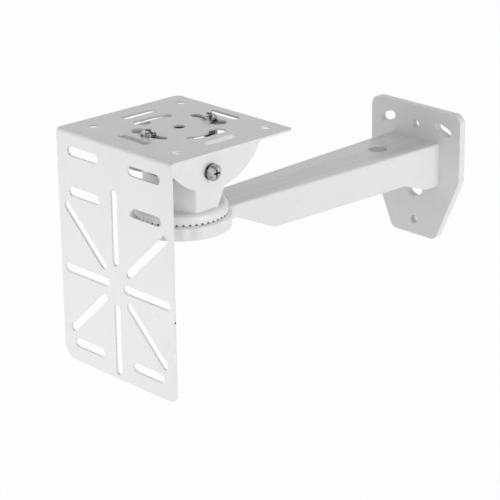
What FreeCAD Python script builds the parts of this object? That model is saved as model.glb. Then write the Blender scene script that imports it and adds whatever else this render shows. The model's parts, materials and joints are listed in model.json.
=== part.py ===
import FreeCAD, Part
import math
import os
import re
import Sketcher

# Wall bracket for a camera housing. Millimetres, +Z up, +Y into the wall.
# The origin is the centre of the wall plate's back face, so the arm reaches out to -Y.
os.makedirs("parts", exist_ok=True)
doc = FreeCAD.newDocument("camera_wall_bracket")
V = FreeCAD.Vector
SIDEWAYS = FreeCAD.Rotation(V(0, 1, 0), 90)
UPSIDE_DOWN = FreeCAD.Rotation(V(1, 0, 0), 180)

# Distance within which an edge counts as lying at a place
REACH = 0.01

# Driving dimensions, in millimetres or degrees
DIMENSIONS = {
    # wall plate, a flat shield-shaped plate
    "wall_width": 92,
    "wall_height": 106,
    "wall_thick": 6,
    "wall_foot_width": 45,
    "wall_taper_drop": 54,
    "wall_top_round": 8,
    "wall_foot_round": 7,
    "wall_slot_out": 29,
    "wall_slot_rise": 38.6,
    "wall_slot_length": 16.5,
    "wall_slot_width": 7,
    "wall_slot_lean": 20,
    "wall_hole_rise": 38,
    "wall_hole_bore": 7.5,
    "wall_low_hole_drop": 41,
    "wall_low_hole_bore": 7,
    "wall_cable_drop": 13,
    "wall_cable_bore": 18,
    # arm, an upturned channel pressed with a round cup at its end
    "head_reach": 252,
    "arm_top": 27,
    "arm_sheet": 2.5,
    "arm_root_width": 50,
    "arm_neck_width": 34,
    "arm_neck_from_head": 37,
    "cup_radius": 36,
    "cup_depth": 10,
    "arm_neck_depth": 11,
    "arm_slant_from_head": 40,
    "arm_belly_from_head": 74,
    "arm_belly_depth": 26.3,
    "arm_foot_start": 43,
    "arm_foot_full": 20,
    "arm_foot_depth": 34.5,
    "arm_belly_round": 5.5,
    "arm_bend": 2.2,
    "arm_cable_from_wall": 49,
    "arm_cable_bore": 15,
    # notched disc that turns on the cup
    "disc_radius": 33.5,
    "disc_height": 8,
    "disc_sheet": 2.5,
    "disc_round": 4,
    "disc_notch_width": 2,
    "disc_notch_root": 1.2,
    "disc_notch_depth": 1,
    "disc_notch_count": 46,
    # yoke that stands on the disc and carries the tilt bolt
    "yoke_width": 57.8,
    "yoke_sheet": 2.5,
    "yoke_front": 21,
    "yoke_front_radius": 45,
    "yoke_bend": 4,
    "yoke_front_height": 22,
    "yoke_rear_foot": 8.8,
    "yoke_rear_bulge": 16,
    "yoke_rear_rise": 15.5,
    "yoke_eye_radius": 12,
    "yoke_rear_round": 4,
    "tilt_rise": 28.4,
    # clevis, an upturned U with two round-bottomed ears
    "clevis_sheet": 2.5,
    "clevis_gap": 0.4,
    "clevis_web_rise": 23.1,
    "clevis_length": 99,
    "clevis_bend": 3,
    "ear_radius": 53.9,
    "ear_centre_rise": 41,
    "window_inner": 14,
    "window_edge": 3.3,
    "window_length": 52,
    "window_round": 3,
    # camera plate, an L of sheet with a pierced flange
    "plate_width": 120,
    "plate_front": 62.5,
    "plate_depth": 115,
    "plate_sheet": 2.5,
    "plate_bend": 3.5,
    "plate_corner_round": 4,
    "flange_height": 172.5,
    "flange_corner_round": 12,
    "corner_hole_out": 44,
    "corner_hole_along": 41,
    "corner_hole_bore": 7.5,
    "cross_slot_along": 41.4,
    "cross_slot_length": 32,
    "cross_slot_width": 7,
    "side_slot_out": 43,
    "side_slot_length": 30,
    "side_slot_width": 7,
    "arc_radius": 28.4,
    "arc_width": 6.5,
    "arc_span": 64,
    "keyhole_bore": 12.5,
    "keyhole_angle": 24,
    "centre_bore": 9,
    "flange_slot_out": 33,
    "flange_slot_length": 34,
    "flange_slot_width": 7,
    "flange_slot_drop": 13.8,
    "flange_row_rise": 129.5,
    "flange_low_slot_rise": 15.9,
    "star_rise": 71.5,
    "star_width": 6.5,
    "star_up_start": 14.8,
    "star_up_end": 70.4,
    "star_down_start": 15.6,
    "star_down_end": 66.5,
    "star_side_start": 7,
    "star_side_edge": 4,
    "star_diagonal_start": 14.5,
    "star_diagonal_end": 72,
    # fasteners
    "running_clearance": 0.1,
    "tilt_bolt_size": 6,
    "tilt_head_width": 11.8,
    "tilt_head_height": 3.6,
    "plate_screw_size": 6,
    "plate_head_width": 11,
    "plate_head_height": 3.4,
    "small_washer_width": 12,
    "small_washer_thick": 1.1,
    "small_spring_width": 10.8,
    "small_spring_thick": 1.5,
    "small_nut_flats": 10,
    "small_nut_height": 5,
    "head_crown_run": 2.2,
    "head_crown_drop": 1.9,
    "recess_length": 6,
    "recess_width": 1.3,
    "recess_depth": 1.8,
    "pan_bolt_size": 8,
    "pan_head_flats": 13,
    "pan_head_height": 5.3,
    "pan_washer_width": 16,
    "pan_washer_thick": 1.6,
    "pan_spring_width": 13,
    "pan_spring_thick": 2,
    "pan_nut_flats": 13,
    "pan_nut_height": 6.5,
    "spring_washer_split": 1,
    "bolt_tail": 2,
    "bolt_tip_chamfer": 0.8,
    "nut_chamfer_angle": 30,
    # overshoot of a cutting outline past the metal it trims
    "trim_margin": 5,
}

sheet = doc.addObject("Spreadsheet::Sheet", "Sizes")
for row, (alias, value) in enumerate(DIMENSIONS.items(), 1):
    sheet.set("A%d" % row, alias.replace("_", " "))
    sheet.set("B%d" % row, str(value))
    sheet.setAlias("B%d" % row, alias)
doc.recompute()

# Places that several pieces share, as formulas of the sheet's sizes
DISC_TOP = "(arm_top + disc_height)"
TILT_AXIS = "(arm_top + disc_height + tilt_rise)"
PLATE_TOP = "(arm_top + disc_height + tilt_rise + clevis_web_rise + plate_sheet)"
HEAD_Y = "(-head_reach)"
EAR_INSIDE = "(yoke_width / 2 + clevis_gap)"
EAR_OUTSIDE = "(yoke_width / 2 + clevis_gap + clevis_sheet)"
ARM_SPREAD = ("atan((arm_root_width - arm_neck_width) / 2"
              " / (head_reach - arm_neck_from_head - wall_thick))")
TILT_BORE = "(tilt_bolt_size / 2 + running_clearance)"
PAN_BORE = "(pan_bolt_size / 2 + running_clearance)"
SCREW_BORE = "(plate_screw_size / 2 + running_clearance)"
WINDOW_OUTER = "(yoke_width / 2 + clevis_gap - window_edge)"
STAR_DROP = "(flange_height - star_rise)"
STAR_SIDE_END = "(plate_width / 2 - star_side_edge)"
SMALL_STACK = "(small_washer_thick + small_spring_thick)"
PAN_STACK = "(pan_washer_thick + pan_spring_thick)"


def bound(formula):
    """Rewrite a formula of size names as an expression that reads the sheet."""
    def cell(match):
        word = match.group()
        return "Sizes." + word if word in DIMENSIONS else word
    return re.sub(r"[a-z][a-z_]*", cell, formula)


def number(formula):
    """Value of a formula of size names."""
    value = sheet.evalExpression(bound(formula))
    return float(getattr(value, "Value", value))


def bind(thing, name, formula):
    """Tie a property to a formula of size names."""
    thing.setExpression(name, bound(formula))


def make_body(label, x="0", y="0", z="0", turn=None):
    """A body with its own name and place, turned if the piece lies another way."""
    body = doc.addObject("PartDesign::Body", label)
    body.Label = label
    if turn:
        body.Placement = FreeCAD.Placement(V(), turn)
    bind(body, "Placement.Base.x", x)
    bind(body, "Placement.Base.y", y)
    bind(body, "Placement.Base.z", z)
    return body


def make_sketch(body, name, role, offset="0"):
    """A sketch on one of the body's own origin planes, moved out by an offset."""
    sketch = body.newObject("Sketcher::SketchObject", body.Label + "_" + name)
    plane = [item for item in body.Origin.OriginFeatures if item.Role == role][0]
    sketch.AttachmentSupport = (plane, "")
    sketch.MapMode = "FlatFace"
    bind(sketch, "AttachmentOffset.Base.z", offset)
    return sketch


def constrain(sketch, kind, *arguments, formula=None):
    """Add a constraint and tie its value, if it has one, to a formula."""
    if formula is None:
        return sketch.addConstraint(Sketcher.Constraint(kind, *arguments))
    index = sketch.addConstraint(Sketcher.Constraint(kind, *arguments, number(formula)))
    name = "size_%d" % index
    sketch.renameConstraint(index, name)
    bind(sketch, "Constraints." + name, formula)
    return index


def pin(sketch, curve, end, x, y):
    """Fix a point of a curve at two formulas, measured from the sketch's origin."""
    if x == "0":
        constrain(sketch, "PointOnObject", curve, end, -2)
    else:
        constrain(sketch, "DistanceX", -1, 1, curve, end, formula=x)
    if y == "0":
        constrain(sketch, "PointOnObject", curve, end, -1)
    else:
        constrain(sketch, "DistanceY", -1, 1, curve, end, formula=y)


def point(x, y):
    """A sketch point from two formulas."""
    return V(number(x), number(y), 0)


def draw_polygon(sketch, corners):
    """Closed outline of straight edges whose corners are pairs of formulas."""
    spots = [point(*corner) for corner in corners]
    first = sketch.GeometryCount
    count = len(corners)
    for index, spot in enumerate(spots):
        following = spots[(index + 1) % count]
        sketch.addGeometry(Part.LineSegment(spot, following), False)
    for index, corner in enumerate(corners):
        before = first + (index - 1) % count
        constrain(sketch, "Coincident", before, 2, first + index, 1)
        pin(sketch, first + index, 1, *corner)


def draw_box(sketch, left, low, right, high):
    """Rectangle between two pairs of formulas."""
    draw_polygon(sketch, [(left, low), (right, low), (right, high), (left, high)])


def draw_circle(sketch, x, y, radius):
    """Circle about a point of two formulas."""
    circle = Part.Circle(point(x, y), V(0, 0, 1), number(radius))
    curve = sketch.addGeometry(circle, False)
    pin(sketch, curve, 3, x, y)
    constrain(sketch, "Radius", curve, formula=radius)


def draw_slot(sketch, start, end, half_width):
    """Round-ended slot between the centres of its two ends."""
    first_centre = point(*start)
    last_centre = point(*end)
    radius = number(half_width)
    along = (last_centre - first_centre).normalize()
    side = V(-along.y, along.x, 0) * radius
    heading = math.atan2(along.y, along.x)
    quarter = math.pi / 2
    curves = [
        Part.LineSegment(first_centre - side, last_centre - side),
        Part.ArcOfCircle(Part.Circle(last_centre, V(0, 0, 1), radius),
                         heading - quarter, heading + quarter),
        Part.LineSegment(last_centre + side, first_centre + side),
        Part.ArcOfCircle(Part.Circle(first_centre, V(0, 0, 1), radius),
                         heading + quarter, heading + 3 * quarter),
    ]
    lower, last_cap, upper, first_cap = [sketch.addGeometry(curve, False) for curve in curves]
    constrain(sketch, "Tangent", lower, 2, last_cap, 1)
    constrain(sketch, "Tangent", last_cap, 2, upper, 1)
    constrain(sketch, "Tangent", upper, 2, first_cap, 1)
    constrain(sketch, "Tangent", first_cap, 2, lower, 1)
    pin(sketch, first_cap, 3, *start)
    pin(sketch, last_cap, 3, *end)
    constrain(sketch, "Equal", first_cap, last_cap)
    constrain(sketch, "Radius", last_cap, formula=half_width)


def draw_level_slot(sketch, x, y, length, width):
    """Slot that runs along the sketch's first axis, by its centre and overall length."""
    reach = "(%s - %s) / 2" % (length, width)
    draw_slot(sketch, ("%s - %s" % (x, reach), y), ("%s + %s" % (x, reach), y), width + " / 2")


def draw_upright_slot(sketch, x, y, length, width):
    """Slot that runs along the sketch's second axis, by its centre and overall length."""
    reach = "(%s - %s) / 2" % (length, width)
    draw_slot(sketch, (x, "%s - %s" % (y, reach)), (x, "%s + %s" % (y, reach)), width + " / 2")


def pad(body, sketch, length, reverse=False, both_ways=False):
    """Add metal to a sketch's outline."""
    feature = body.newObject("PartDesign::Pad", sketch.Name + "_pad")
    feature.Profile = sketch
    if both_ways:
        feature.SideType = "Symmetric"
    bind(feature, "Length", length)
    feature.Reversed = reverse
    sketch.Visibility = False
    doc.recompute()
    return feature


def cut(body, sketch, length=None, reverse=False, both_ways=False):
    """Cut a sketch's outline away, and stop if that removes nothing."""
    before = body.Shape.Volume
    feature = body.newObject("PartDesign::Pocket", sketch.Name + "_cut")
    feature.Profile = sketch
    if both_ways:
        feature.SideType = "Symmetric"
    if length is None:
        feature.Type = "ThroughAll"
    else:
        feature.Type = "Length"
        bind(feature, "Length", length)
    feature.Reversed = reverse
    sketch.Visibility = False
    doc.recompute()
    if not body.Shape.Volume < before:
        raise RuntimeError(feature.Name + " cuts nothing")
    return feature


def revolve(body, sketch):
    """Turn a sketch's outline about its upright axis."""
    feature = body.newObject("PartDesign::Revolution", sketch.Name + "_turned")
    feature.Profile = sketch
    feature.ReferenceAxis = (sketch, ["V_Axis"])
    feature.Angle = 360
    sketch.Visibility = False
    doc.recompute()
    return feature


def edges_along(body, axis, **places):
    """Names of the body's edges that run along an axis at the given places on the others."""
    names = []
    for index, edge in enumerate(body.Tip.Shape.Edges, 1):
        box = edge.BoundBox
        spans = {"x": (box.XMin, box.XMax), "y": (box.YMin, box.YMax), "z": (box.ZMin, box.ZMax)}
        low, high = spans[axis]
        placed = all(abs(spans[key][side] - place) < REACH
                     for key, place in places.items() for side in (0, 1))
        if high - low > REACH and placed:
            names.append("Edge%d" % index)
    return names


def round_edges(body, height, radius):
    """Names of the body's level circles of a radius about its upright axis."""
    names = []
    for index, edge in enumerate(body.Tip.Shape.Edges, 1):
        box = edge.BoundBox
        level = abs(box.ZMin - height) < REACH and abs(box.ZMax - height) < REACH
        if level and abs(box.XMax - radius) < REACH:
            names.append("Edge%d" % index)
    return names


def rounded(body, name, edges, radius):
    """Fillet edges of the body's last feature."""
    if not edges:
        raise RuntimeError(body.Label + "_" + name + " finds no edge")
    last = body.Tip
    feature = body.newObject("PartDesign::Fillet", body.Label + "_" + name)
    feature.Base = (last, edges)
    bind(feature, "Radius", radius)
    last.Visibility = False
    doc.recompute()
    return feature


def build_wall_plate():
    """Flat plate with two leaning slots, two screw holes and a cable hole."""
    body = make_body("wall_plate")
    outline = make_sketch(body, "outline", "XZ_Plane")
    half_top = "wall_width / 2"
    half_foot = "wall_foot_width / 2"
    top = "wall_height / 2"
    foot = "-wall_height / 2"
    taper = "wall_height / 2 - wall_taper_drop"
    draw_polygon(outline, [
        ("-" + half_top, top), ("-" + half_top, taper), ("-" + half_foot, foot),
        (half_foot, foot), (half_top, taper), (half_top, top),
    ])
    pad(body, outline, "wall_thick")
    for name, half, height, radius in (("shoulders", half_top, top, "wall_top_round"),
                                       ("foot_corners", half_foot, foot, "wall_foot_round")):
        edges = []
        for side in (-1, 1):
            edges += edges_along(body, "y", x=side * number(half), z=number(height))
        rounded(body, name, edges, radius)
    holes = make_sketch(body, "holes", "XZ_Plane")
    draw_circle(holes, "0", "wall_hole_rise", "wall_hole_bore / 2")
    draw_circle(holes, "0", "-wall_low_hole_drop", "wall_low_hole_bore / 2")
    draw_circle(holes, "0", "-wall_cable_drop", "wall_cable_bore / 2")
    reach = "(wall_slot_length - wall_slot_width) / 2"
    along = reach + " * cos(wall_slot_lean)"
    rise = reach + " * sin(wall_slot_lean)"
    for side in ("", "-"):
        inner = ("%s(wall_slot_out - %s)" % (side, along), "wall_slot_rise + " + rise)
        outer = ("%s(wall_slot_out + %s)" % (side, along), "wall_slot_rise - " + rise)
        draw_slot(holes, outer, inner, "wall_slot_width / 2")
    cut(body, holes, reverse=True)
    return body


def draw_arm_outline(sketch, inset):
    """Plan of the arm: the round cup, hollow blends and sides that spread to the wall."""
    radius = "(cup_radius - %s)" % inset
    neck_x = "(arm_neck_width / 2 - %s * cos(%s))" % (inset, ARM_SPREAD)
    neck_y = "(arm_neck_from_head + %s * sin(%s))" % (inset, ARM_SPREAD)
    root_x = "(arm_root_width / 2 - %s / cos(%s))" % (inset, ARM_SPREAD)
    root_y = "(head_reach - wall_thick)"
    neck = point(neck_x, neck_y)
    root = point(root_x, root_y)
    along = (root - neck).normalize()
    outward = V(along.y, -along.x, 0)
    cup = number(radius)
    # radius of the blend that touches both the side, at the neck, and the cup
    blend = (neck.dot(neck) - cup * cup) / (2 * (cup - neck.dot(outward)))
    blend_centre = neck + outward * blend
    meeting = math.atan2(blend_centre.y, blend_centre.x)
    neck_angle = math.atan2(-outward.y, -outward.x)
    mirrored = V(-blend_centre.x, blend_centre.y, 0)
    turn = 2 * math.pi
    curves = [
        Part.ArcOfCircle(Part.Circle(V(), V(0, 0, 1), cup), math.pi - meeting, meeting + turn),
        Part.ArcOfCircle(Part.Circle(blend_centre, V(0, 0, 1), blend),
                         neck_angle % turn, meeting + math.pi),
        Part.LineSegment(neck, root),
        Part.LineSegment(root, V(-root.x, root.y, 0)),
        Part.LineSegment(V(-root.x, root.y, 0), V(-neck.x, neck.y, 0)),
        Part.ArcOfCircle(Part.Circle(mirrored, V(0, 0, 1), blend),
                         -meeting, (math.pi - neck_angle) % turn),
    ]
    rim, right, side, end, far_side, left = [sketch.addGeometry(item, False) for item in curves]
    constrain(sketch, "Coincident", rim, 3, -1, 1)
    constrain(sketch, "Radius", rim, formula=radius)
    constrain(sketch, "Tangent", rim, 2, right, 2)
    constrain(sketch, "Tangent", right, 1, side, 1)
    constrain(sketch, "Coincident", side, 2, end, 1)
    constrain(sketch, "Coincident", end, 2, far_side, 1)
    constrain(sketch, "Tangent", far_side, 2, left, 2)
    constrain(sketch, "Tangent", left, 1, rim, 1)
    pin(sketch, side, 1, neck_x, neck_y)
    pin(sketch, side, 2, root_x, root_y)
    pin(sketch, far_side, 1, "-" + root_x, root_y)
    pin(sketch, far_side, 2, "-" + neck_x, neck_y)


def build_arm():
    """Upturned channel pressed from one sheet, with a round cup that carries the head."""
    body = make_body("arm", y=HEAD_Y, z="arm_top")
    outline = make_sketch(body, "outline", "XY_Plane")
    draw_arm_outline(outline, "0")
    pad(body, outline, "arm_foot_depth", reverse=True)
    # the side walls' lower edge, seen along X, from the cup to the wall
    hem = make_sketch(body, "hem", "YZ_Plane")
    root = "(head_reach - wall_thick)"
    front = "-(cup_radius + trim_margin)"
    below = "-(arm_foot_depth + trim_margin)"
    back = "(%s + trim_margin)" % root
    draw_polygon(hem, [
        (front, "-cup_depth"), ("arm_neck_from_head", "-cup_depth"),
        ("arm_slant_from_head", "-arm_neck_depth"),
        ("arm_belly_from_head", "-arm_belly_depth"),
        ("head_reach - arm_foot_start", "-arm_belly_depth"),
        ("head_reach - arm_foot_full", "-arm_foot_depth"),
        (back, "-arm_foot_depth"), (back, below), (front, below),
    ])
    cut(body, hem, both_ways=True)
    belly = edges_along(body, "x", y=number("arm_belly_from_head"), z=-number("arm_belly_depth"))
    rounded(body, "belly_round", belly, "arm_belly_round")
    inside = make_sketch(body, "inside", "XY_Plane", "-arm_sheet")
    draw_arm_outline(inside, "arm_sheet")
    cut(body, inside)
    holes = make_sketch(body, "holes", "XY_Plane")
    draw_circle(holes, "0", "0", PAN_BORE)
    draw_circle(holes, "0", "head_reach - arm_cable_from_wall", "arm_cable_bore / 2")
    cut(body, holes, "arm_sheet")
    cable = point("0", "head_reach - arm_cable_from_wall")
    top_edges = []
    for index, edge in enumerate(body.Tip.Shape.Edges, 1):
        box = edge.BoundBox
        on_top = abs(box.ZMin) < REACH and abs(box.ZMax) < REACH
        middle = edge.valueAt((edge.FirstParameter + edge.LastParameter) / 2)
        in_hole = (middle.Length < number(PAN_BORE) + REACH
                   or (middle - cable).Length < number("arm_cable_bore / 2") + REACH)
        at_wall = box.YMin > number(root) - REACH
        if on_top and not in_hole and not at_wall:
            top_edges.append("Edge%d" % index)
    rounded(body, "bend", top_edges, "arm_bend")
    return body


def build_pan_disc():
    """Pressed cap with a rounded shoulder and a row of tapered notches in its rim."""
    body = make_body("pan_disc", y=HEAD_Y, z="arm_top")
    section = make_sketch(body, "section", "XZ_Plane")
    inner = "(disc_radius - disc_sheet)"
    under = "(disc_height - disc_sheet)"
    draw_polygon(section, [
        (PAN_BORE, "disc_height"), ("disc_radius", "disc_height"), ("disc_radius", "0"),
        (inner, "0"), (inner, under), (PAN_BORE, under),
    ])
    revolve(body, section)
    rounded(body, "shoulder", round_edges(body, number("disc_height"), number("disc_radius")),
            "disc_round")
    rounded(body, "hollow", round_edges(body, number(under), number(inner)),
            "disc_round - disc_sheet")
    notch = make_sketch(body, "notch", "YZ_Plane", inner + " - trim_margin / 2")
    draw_polygon(notch, [
        ("-disc_notch_width / 2", "0"), ("disc_notch_width / 2", "0"),
        ("disc_notch_root / 2", "disc_notch_depth"), ("-disc_notch_root / 2", "disc_notch_depth"),
    ])
    cut(body, notch, "disc_sheet + trim_margin", reverse=True)
    pattern = body.newObject("PartDesign::PolarPattern", "pan_disc_notches")
    pattern.Originals = [body.Tip]
    pattern.Axis = ([item for item in body.Origin.OriginFeatures if item.Role == "Z_Axis"][0], [""])
    pattern.Angle = 360
    bind(pattern, "Occurrences", "disc_notch_count")
    body.Tip = pattern
    doc.recompute()
    return body


def draw_yoke_plan(sketch, inset):
    """Plan of the yoke: straight sides and a bowed front, open at the back."""
    half = "(yoke_width / 2 - %s)" % inset
    radius = "(yoke_front_radius - %s)" % inset
    centre = "(yoke_front_radius - yoke_front)"
    corner = "(%s - sqrt(%s * %s - %s * %s))" % (centre, radius, radius, half, half)
    back = "(yoke_rear_bulge + trim_margin)"
    spread = math.asin(number(half) / number(radius))
    down = -math.pi / 2
    bow = Part.Circle(point("0", centre), V(0, 0, 1), number(radius))
    right = point(half, corner)
    left = V(-right.x, right.y, 0)
    back_right = point(half, back)
    back_left = V(-back_right.x, back_right.y, 0)
    curves = [
        Part.ArcOfCircle(bow, down - spread, down + spread),
        Part.LineSegment(right, back_right),
        Part.LineSegment(back_right, back_left),
        Part.LineSegment(back_left, left),
    ]
    front, near, end, far = [sketch.addGeometry(item, False) for item in curves]
    constrain(sketch, "Coincident", front, 2, near, 1)
    constrain(sketch, "Coincident", near, 2, end, 1)
    constrain(sketch, "Coincident", end, 2, far, 1)
    constrain(sketch, "Coincident", far, 2, front, 1)
    pin(sketch, front, 3, "0", centre)
    pin(sketch, near, 1, half, corner)
    pin(sketch, near, 2, half, back)
    pin(sketch, far, 1, "-" + half, back)
    constrain(sketch, "Vertical", far)
    return number(half), number(corner)


def build_tilt_yoke():
    """Pressed stand on the disc: a floor, a bowed front and two eyes for the tilt bolt."""
    body = make_body("tilt_yoke", y=HEAD_Y, z=DISC_TOP)
    plan = make_sketch(body, "plan", "XY_Plane")
    half, corner = draw_yoke_plan(plan, "0")
    pad(body, plan, "tilt_rise + yoke_eye_radius")
    edges = edges_along(body, "z", x=half, y=corner) + edges_along(body, "z", x=-half, y=corner)
    rounded(body, "bends", edges, "yoke_bend")
    inside = make_sketch(body, "inside", "XY_Plane", "yoke_sheet")
    half, corner = draw_yoke_plan(inside, "yoke_sheet")
    cut(body, inside, reverse=True)
    edges = edges_along(body, "z", x=half, y=corner) + edges_along(body, "z", x=-half, y=corner)
    rounded(body, "inner_bends", edges, "yoke_bend - yoke_sheet")
    # side view: everything outside the front wall, the eye and the slanted back is cut off
    side = make_sketch(body, "side", "YZ_Plane")
    front = "-(yoke_front + trim_margin)"
    back = "(yoke_rear_bulge + 2 * trim_margin)"
    above = "(tilt_rise + yoke_eye_radius + trim_margin)"
    draw_box(side, front + " - trim_margin", "-trim_margin", back, above)
    eye = number("yoke_eye_radius")
    centre = point("0", "tilt_rise")
    bulge = point("yoke_rear_bulge", "yoke_rear_rise")
    # the slanted back leaves the eye along its tangent
    gap = bulge - centre
    tangent = math.atan2(gap.y, gap.x) + math.acos(eye / gap.Length)
    leaving = centre + V(math.cos(tangent), math.sin(tangent), 0) * eye
    spots = [point(front, "0"), point(front, "yoke_front_height"),
             point("-yoke_eye_radius", "yoke_front_height"), point("-yoke_eye_radius", "tilt_rise")]
    foot = point("yoke_rear_foot", "0")
    curves = [Part.LineSegment(spots[0], spots[1]), Part.LineSegment(spots[1], spots[2]),
              Part.LineSegment(spots[2], spots[3]),
              Part.ArcOfCircle(Part.Circle(centre, V(0, 0, 1), eye), tangent, math.pi),
              Part.LineSegment(leaving, bulge), Part.LineSegment(bulge, foot),
              Part.LineSegment(foot, spots[0])]
    nose, ledge, throat, crown, slant, heel, base = [side.addGeometry(c, False) for c in curves]
    constrain(side, "Coincident", nose, 2, ledge, 1)
    constrain(side, "Coincident", ledge, 2, throat, 1)
    constrain(side, "Tangent", throat, 2, crown, 2)
    constrain(side, "Tangent", crown, 1, slant, 1)
    constrain(side, "Coincident", slant, 2, heel, 1)
    constrain(side, "Coincident", heel, 2, base, 1)
    constrain(side, "Coincident", base, 2, nose, 1)
    pin(side, nose, 1, front, "0")
    pin(side, nose, 2, front, "yoke_front_height")
    pin(side, ledge, 2, "-yoke_eye_radius", "yoke_front_height")
    pin(side, crown, 3, "0", "tilt_rise")
    constrain(side, "Radius", crown, formula="yoke_eye_radius")
    pin(side, heel, 1, "yoke_rear_bulge", "yoke_rear_rise")
    pin(side, heel, 2, "yoke_rear_foot", "0")
    cut(body, side, both_ways=True)
    bulges = edges_along(body, "x", y=number("yoke_rear_bulge"), z=number("yoke_rear_rise"))
    rounded(body, "bulge", bulges, "yoke_rear_round")
    eyes = make_sketch(body, "eyes", "YZ_Plane")
    draw_circle(eyes, "0", "tilt_rise", TILT_BORE)
    cut(body, eyes, both_ways=True)
    floor_hole = make_sketch(body, "floor_hole", "XY_Plane")
    draw_circle(floor_hole, "0", "0", PAN_BORE)
    cut(body, floor_hole, "yoke_sheet", reverse=True)
    return body


def build_tilt_clevis():
    """Upturned U under the camera plate: a pierced web and two round-bottomed ears."""
    body = make_body("tilt_clevis", y=HEAD_Y, z=TILT_AXIS)
    section = make_sketch(body, "section", "XZ_Plane")
    low = "(ear_centre_rise - ear_radius - trim_margin)"
    under = "(clevis_web_rise - clevis_sheet)"
    draw_polygon(section, [
        ("-" + EAR_OUTSIDE, low), ("-" + EAR_OUTSIDE, "clevis_web_rise"),
        (EAR_OUTSIDE, "clevis_web_rise"), (EAR_OUTSIDE, low), (EAR_INSIDE, low),
        (EAR_INSIDE, under), ("-" + EAR_INSIDE, under), ("-" + EAR_INSIDE, low),
    ])
    pad(body, section, "clevis_length", both_ways=True)
    for name, half, height, radius in (
            ("bends", EAR_OUTSIDE, "clevis_web_rise", "clevis_bend"),
            ("inner_bends", EAR_INSIDE, under, "clevis_bend - clevis_sheet")):
        edges = []
        for side in (-1, 1):
            edges += edges_along(body, "y", x=side * number(half), z=number(height))
        rounded(body, name, edges, radius)
    ears = make_sketch(body, "ears", "YZ_Plane")
    margin = "(clevis_length / 2 + 2 * trim_margin)"
    draw_box(ears, "-" + margin, low + " - trim_margin", margin,
             "ear_centre_rise + ear_radius + trim_margin")
    draw_circle(ears, "0", "ear_centre_rise", "ear_radius")
    cut(body, ears, both_ways=True)
    eyes = make_sketch(body, "eyes", "YZ_Plane")
    draw_circle(eyes, "0", "0", TILT_BORE)
    cut(body, eyes, both_ways=True)
    web_holes = make_sketch(body, "web_holes", "XY_Plane", "clevis_web_rise")
    draw_circle(web_holes, "0", "0", "centre_bore / 2")
    draw_circle(web_holes, "0", "arc_radius", SCREW_BORE)
    draw_circle(web_holes, "0", "-arc_radius", SCREW_BORE)
    draw_box(web_holes, "window_inner", "-window_length / 2", WINDOW_OUTER, "window_length / 2")
    draw_box(web_holes, "-" + WINDOW_OUTER, "-window_length / 2", "-window_inner",
             "window_length / 2")
    cut(body, web_holes, "clevis_sheet")
    corners = []
    for across in (number("window_inner"), number(WINDOW_OUTER)):
        for along in (-1, 1):
            for side in (-1, 1):
                corners += edges_along(body, "z", x=side * across,
                                       y=along * number("window_length / 2"))
    rounded(body, "window_corners", corners, "window_round")
    return body


def draw_arc_slot(sketch, middle):
    """Slot that follows the swivel circle, by the angle of its middle in degrees."""
    half_width = number("arc_width / 2")
    mean = number("arc_radius")
    cap_angle = math.asin(half_width / mean)
    reach = math.radians(number("arc_span / 2")) - cap_angle
    middle_angle = math.radians(middle)
    low = middle_angle - reach
    high = middle_angle + reach
    turned = V(0, 0, 1)
    low_centre = V(math.cos(low), math.sin(low), 0) * mean
    high_centre = V(math.cos(high), math.sin(high), 0) * mean
    curves = [
        Part.ArcOfCircle(Part.Circle(V(), turned, mean + half_width), low, high),
        Part.ArcOfCircle(Part.Circle(high_centre, turned, half_width), high, high + math.pi),
        Part.ArcOfCircle(Part.Circle(V(), turned, mean - half_width), low, high),
        Part.ArcOfCircle(Part.Circle(low_centre, turned, half_width), low + math.pi, low + 2 * math.pi),
    ]
    outer, high_cap, inner, low_cap = [sketch.addGeometry(curve, False) for curve in curves]
    constrain(sketch, "Tangent", outer, 2, high_cap, 1)
    constrain(sketch, "Tangent", high_cap, 2, inner, 2)
    constrain(sketch, "Tangent", inner, 1, low_cap, 1)
    constrain(sketch, "Tangent", low_cap, 2, outer, 1)
    constrain(sketch, "Coincident", outer, 3, -1, 1)
    constrain(sketch, "Coincident", inner, 3, -1, 1)
    constrain(sketch, "Radius", outer, formula="arc_radius + arc_width / 2")
    reach_formula = "(arc_span / 2 * 1 deg - asin(arc_width / 2 / arc_radius))"
    low_angle = "(%d deg - %s)" % (middle, reach_formula)
    high_angle = "(%d deg + %s)" % (middle, reach_formula)
    pin(sketch, low_cap, 3, "arc_radius * cos" + low_angle, "arc_radius * sin" + low_angle)
    if middle % 180 == 0:
        constrain(sketch, "DistanceY", -1, 1, high_cap, 3, formula="arc_radius * sin" + high_angle)
    else:
        constrain(sketch, "DistanceX", -1, 1, high_cap, 3, formula="arc_radius * cos" + high_angle)


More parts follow.
